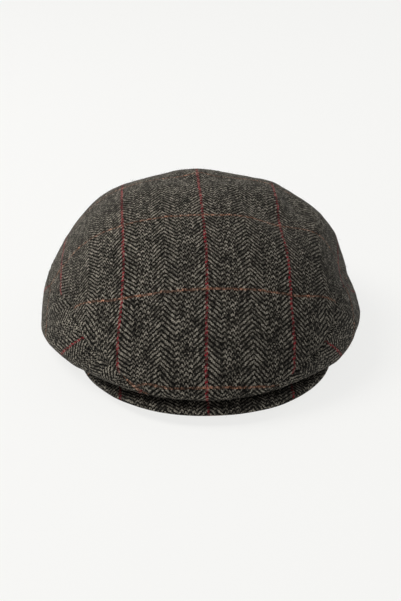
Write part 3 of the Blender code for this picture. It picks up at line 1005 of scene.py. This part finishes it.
def fibre_tree():
    """Fibres scattered over a surface, each turned and sized by chance."""
    tree, given, result = new_group(
        "Loose Wool",
        "GeometryNodeTree",
        (
            ("Surface", "Geometry"), ("Fibre", "Object"), ("Density", "Float"), ("Shortest", "Float"),
            ("Longest", "Float"), ("Lean", "Float"), ("Seed", "Int"), ("Finish", "Material"),
        ),
        (("Wool", "Geometry"),),
    )
    scattered = tree.add(
        "GeometryNodeDistributePointsOnFaces",
        {"Mesh": given["Surface"], "Density": given["Density"], "Seed": given["Seed"]},
    ).outputs
    sizes = {2: given["Shortest"], 3: given["Longest"], "Seed": given["Seed"]}
    length = tree.add("FunctionNodeRandomValue", sizes, data_type="FLOAT").outputs[1]
    leans = {0: (-1.0, -1.0, 0.0), 1: (1.0, 1.0, 2 * math.pi), "Seed": given["Seed"]}
    lean = tree.add("FunctionNodeRandomValue", leans, data_type="FLOAT_VECTOR").outputs[0]
    lean_parts = tree.add("ShaderNodeSeparateXYZ", {0: lean}).outputs
    tilt = [tree.times(lean_parts[i], given["Lean"]) for i in (0, 1)]
    turned = tree.add("FunctionNodeEulerToRotation", {0: tree.vector(*tilt, lean_parts[2])}).outputs[0]
    rotations = {0: scattered["Rotation"], 1: turned}
    stood = tree.add("FunctionNodeRotateRotation", rotations, rotation_space="LOCAL").outputs[0]
    shape = tree.add("GeometryNodeObjectInfo", {"Object": given["Fibre"]}).outputs["Geometry"]
    placed = tree.add(
        "GeometryNodeInstanceOnPoints",
        {"Points": scattered["Points"], "Instance": shape, "Rotation": stood, "Scale": length},
    ).outputs[0]
    real = tree.add("GeometryNodeRealizeInstances", {0: placed}).outputs[0]
    done = tree.add("GeometryNodeSetMaterial", {"Geometry": real, "Material": given["Finish"]}).outputs[0]
    tree.put(result["Wool"], done)
    return tree.tree


def wool_material(cap):
    """Single wool fibres, some light and some dark."""
    material, tree, shader = new_material("loose wool")
    chance = tree.noise(tree.add("ShaderNodeTexCoord").outputs["Object"], 260.0, 1.0)[0]
    dark = (*(c * 2.0 for c in cap.warp_colour), 1)
    light = (*(c * 1.6 for c in cap.weft_colour), 1)
    tree.fill(shader, {
        "Base Color": tree.mix(tree.math("MULTIPLY_ADD", chance, 4.0, -1.5), dark, light),
        "Roughness": tree.between(chance, 0.9, 0.7),
    })
    return material


def build_loose_wool(cap):
    """Stray fibres over the outside of the crown and the peak, as one mesh."""
    mesh = bmesh.new()
    for name in ("cap_top_panel", "cap_left_side_panel", "cap_right_side_panel", "cap_peak"):
        mesh.from_mesh(bpy.data.objects[name].data)
    inside = [f for f in mesh.faces if f.material_index > 0 or f.calc_center_median().z < cap.wool_floor]
    bmesh.ops.delete(mesh, geom=inside, context="FACES")
    carrier = in_scene("outside", mesh_data("outside", mesh))
    fibre = wool_fibre(cap.wool_thickness / cap.wool_length)
    modifier = carrier.modifiers.new("wool", "NODES")
    modifier.node_group = fibre_tree()
    values = {
        "Fibre": fibre,
        "Density": cap.wool_density,
        "Shortest": cap.wool_length * FIBRE_SHORTEST,
        "Longest": cap.wool_length,
        "Lean": FIBRE_TILT,
        "Seed": FIBRE_SEED,
        "Finish": wool_material(cap),
    }
    for socket in modifier.node_group.interface.items_tree:
        if socket.name in values:
            modifier[socket.identifier] = values[socket.name]
    result = carrier.evaluated_get(bpy.context.evaluated_depsgraph_get())
    wool = bpy.data.meshes.new_from_object(result)
    wool.name = "cap_loose_wool"
    for spare in (carrier, fibre):
        bpy.data.objects.remove(spare, do_unlink=True)
    made = in_scene("cap_loose_wool", wool)
    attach(made, "root")


# Kinds of property
METRES = {"subtype": "DISTANCE", "unit": "LENGTH"}
SHARE = {"min": 0, "max": 1, "subtype": "FACTOR"}
COLOUR = {"subtype": "COLOR", "size": 3}
WATTS = {"subtype": "POWER", "unit": "POWER"}


class CapProperties(bpy.types.PropertyGroup):
    """What a user would change on the cap."""

    end_pitch: FloatProperty(
        name="End pitch", description="Distance between warp yarns", default=0.000915, **METRES
    )
    pick_pitch: FloatProperty(
        name="Pick pitch", description="Distance between weft yarns", default=0.00087, **METRES
    )
    fleck: FloatProperty(
        name="Fleck", description="How uneven the colour of each yarn is", default=0.7, **SHARE
    )
    wobble: FloatProperty(name="Wobble", description="How far yarns stray", default=0.4, **SHARE)
    sheen: FloatProperty(name="Sheen", description="Haze of the wool's nap", default=0.07, **SHARE)
    warp_colour: FloatVectorProperty(
        name="Warp colour", description="The dark yarns", default=(0.0042, 0.0038, 0.0031), **COLOUR
    )
    weft_colour: FloatVectorProperty(
        name="Weft colour", description="The light yarns", default=(0.121, 0.111, 0.0925), **COLOUR
    )
    pane_warp_colour: FloatVectorProperty(
        name="Red yarn", description="Lines from front to back", default=(0.122, 0.0065, 0.0115), **COLOUR
    )
    pane_weft_colour: FloatVectorProperty(
        name="Rust yarn", description="Lines from side to side", default=(0.24, 0.115, 0.072), **COLOUR
    )
    seam_depth: FloatProperty(
        name="Seam depth", description="How far the seams sink", default=0.0007, **METRES
    )
    seam_width: FloatProperty(
        name="Seam width", description="Half the width of a seam's groove", default=0.0011, **METRES
    )
    seam_gap: FloatProperty(
        name="Seam gap", description="Between two sewn panels", default=0.00003, **METRES
    )
    pucker_height: FloatProperty(
        name="Pucker height", description="Of the small waves beside a seam", default=0.00025, **METRES
    )
    pucker_spacing: FloatProperty(
        name="Pucker spacing", description="From one wave to the next", default=0.011, **METRES
    )
    pucker_reach: FloatProperty(
        name="Pucker reach", description="How far the waves run from a seam", default=0.006, **METRES
    )
    unevenness: FloatProperty(
        name="Unevenness", description="Of the steamed cloth", default=0.0006, **METRES
    )
    peak_offset: FloatProperty(
        name="Peak offset", description="Of the peak's red lines to the right", default=-0.0018, **METRES
    )
    wool_density: FloatProperty(
        name="Loose wool", description="Stray fibres on a square metre", default=42000.0, min=0
    )
    wool_length: FloatProperty(
        name="Fibre length", description="Of the longest stray fibre", default=0.0022, **METRES
    )
    wool_thickness: FloatProperty(
        name="Fibre thickness", description="Of a stray fibre at its root", default=0.00009, **METRES
    )
    wool_floor: FloatProperty(
        name="Wool floor", description="No fibre is rooted below this height", default=0.003, **METRES
    )
    key_power: FloatProperty(
        name="Key light", description="Power of the large light", default=26.5, **WATTS
    )
    fill_power: FloatProperty(
        name="Fill light", description="Power of the weak light from the right", default=4.8, **WATTS
    )
    front_power: FloatProperty(
        name="Front light", description="Power of the low light from the left", default=3.4, **WATTS
    )


def shared_materials(cap):
    """The tweed of the crown, that of the peak, and the lining, made once."""
    made = bpy.data.materials
    if "crown tweed" not in made:
        group = weave_group()
        tweed_material("crown tweed", group, cap)
        tweed_material("peak tweed", group, cap)
        lining_material()
    return made["crown tweed"], made["peak tweed"], made["lining"]


class FLATCAP_OT_top_panel(bpy.types.Operator):
    """Build the top panel"""

    bl_idname = "flatcap.top_panel"
    bl_label = "Top Panel"

    def execute(self, context):
        cap = context.scene.flat_cap
        tweed, _, lining = shared_materials(cap)
        build_top_panel(cap, (tweed, lining))
        return {"FINISHED"}


class FLATCAP_OT_side_panels(bpy.types.Operator):
    """Build the two side panels"""

    bl_idname = "flatcap.side_panels"
    bl_label = "Side Panels"

    def execute(self, context):
        cap = context.scene.flat_cap
        tweed, _, lining = shared_materials(cap)
        for row in SIDE_GRAIN:
            build_side_panel(cap, (tweed, lining), *row)
        return {"FINISHED"}


class FLATCAP_OT_peak(bpy.types.Operator):
    """Build the peak"""

    bl_idname = "flatcap.peak"
    bl_label = "Peak"

    def execute(self, context):
        cap = context.scene.flat_cap
        build_peak(cap, (shared_materials(cap)[1],))
        return {"FINISHED"}


class FLATCAP_OT_loose_wool(bpy.types.Operator):
    """Scatter stray fibres over the outside"""

    bl_idname = "flatcap.loose_wool"
    bl_label = "Loose Wool"

    def execute(self, context):
        build_loose_wool(context.scene.flat_cap)
        return {"FINISHED"}


def paper_material():
    """A pale matt paper that also glows a little, so that it stays even."""
    material, tree, shader = new_material("pale paper")
    tree.fill(shader, {
        "Base Color": (0.12, 0.12, 0.118, 1),
        "Roughness": 0.9,
        "Specular IOR Level": 0.1,
        "Emission Color": (1.0, 1.0, 0.985, 1),
        "Emission Strength": 0.795,
    })
    return material


def build_floor():
    """A sheet of paper that bends up behind the cap."""
    middle = FLOOR_REACH - FLOOR_BEND
    steps = [(-FLOOR_REACH, 0.0), (middle, 0.0)]
    for turn in np.linspace(0.1, math.pi / 2, 16):
        steps.append((middle + FLOOR_BEND * math.sin(turn), FLOOR_BEND - FLOOR_BEND * math.cos(turn)))
    steps.append((FLOOR_REACH, FLOOR_HEIGHT))
    sides = (-2 * FLOOR_REACH, 2 * FLOOR_REACH)
    mesh = bmesh.new()
    rows = [[mesh.verts.new((x, y, z - FLOOR_DROP)) for x in sides] for y, z in steps]
    for low, high in zip(rows, rows[1:]):
        mesh.faces.new((low[0], low[1], high[1], high[0]))
    data = mesh_data("floor", mesh)
    data.shade_smooth()
    data.materials.append(paper_material())
    floor = in_scene("floor", data)


def area_light(name, place, size, power, colour):
    """A soft square light that faces the cap."""
    data = bpy.data.lights.new(name, "AREA")
    data.size = size
    data.energy = power
    data.color = colour
    made = in_scene(name, data)
    made.location = place
    made.rotation_euler = (Vector(TARGET) - Vector(place)).to_track_quat("-Z", "Y").to_euler()


class FLATCAP_OT_stage(bpy.types.Operator):
    """Build the floor, the lights and the camera"""

    bl_idname = "flatcap.stage"
    bl_label = "Stage"

    def execute(self, context):
        cap = context.scene.flat_cap
        build_floor()
        area_light("key", (-1.0, 0.2, 1.4), 0.9, cap.key_power, (1.0, 0.98, 0.95))
        area_light("fill", (1.2, 0.2, 1.5), 1.2, cap.fill_power, (0.96, 0.98, 1.0))
        area_light("front", (-1.2, -1.0, 0.45), 0.8, cap.front_power, (1.0, 0.99, 0.97))
        world = bpy.data.worlds.new("studio")
        world.use_nodes = True
        world.node_tree.nodes["Background"].inputs[0].default_value = (1.0, 1.0, 0.99, 1)
        world.node_tree.nodes["Background"].inputs[1].default_value = 0.18
        context.scene.world = world
        context.scene.view_settings.view_transform = "Standard"
        make_camera(context.scene)
        return {"FINISHED"}


def make_camera(scene):
    """The photographed view: 25 degrees down, a little to the cap's right, from a metre away."""
    elevation, azimuth = math.radians(ELEVATION), math.radians(AZIMUTH)
    level = math.cos(elevation)
    back = Vector((math.sin(azimuth) * level, -math.cos(azimuth) * level, math.sin(elevation)))
    data = bpy.data.cameras.new("camera")
    data.sensor_fit = "VERTICAL"
    data.sensor_height = SENSOR
    data.lens = PIXELS_PER_TANGENT * SENSOR / PICTURE_SIZE[1]
    data.shift_y = (TARGET_ROW - PICTURE_SIZE[1] / 2) / PICTURE_SIZE[1]
    made = in_scene("camera", data)
    made.location = Vector(TARGET) + back
    made.rotation_euler = (-back).to_track_quat("-Z", "Y").to_euler()
    scene.camera = made


class FLATCAP_PT_panel(bpy.types.Panel):
    """The cap's values and its steps"""

    bl_idname = "FLATCAP_PT_panel"
    bl_label = "Flat Cap"
    bl_space_type = "VIEW_3D"
    bl_region_type = "UI"
    bl_category = "Flat Cap"

    def draw(self, context):
        cap = context.scene.flat_cap
        for name in CapProperties.__annotations__:
            self.layout.prop(cap, name)
        for step in STEPS:
            self.layout.operator(step.bl_idname)


STEPS = (
    FLATCAP_OT_stage, FLATCAP_OT_top_panel, FLATCAP_OT_side_panels, FLATCAP_OT_peak, FLATCAP_OT_loose_wool,
)
CLASSES = (CapProperties, *STEPS, FLATCAP_PT_panel)


def register():
    for kind in CLASSES:
        bpy.utils.register_class(kind)
    bpy.types.Scene.flat_cap = PointerProperty(type=CapProperties)


def unregister():
    del bpy.types.Scene.flat_cap
    for kind in reversed(CLASSES):
        bpy.utils.unregister_class(kind)


def main():
    """Build everything in order."""
    register()
    bpy.ops.flatcap.stage()
    bpy.ops.flatcap.top_panel()
    bpy.ops.flatcap.side_panels()
    bpy.ops.flatcap.peak()
    bpy.ops.flatcap.loose_wool()


if __name__ == "__main__":
    main()
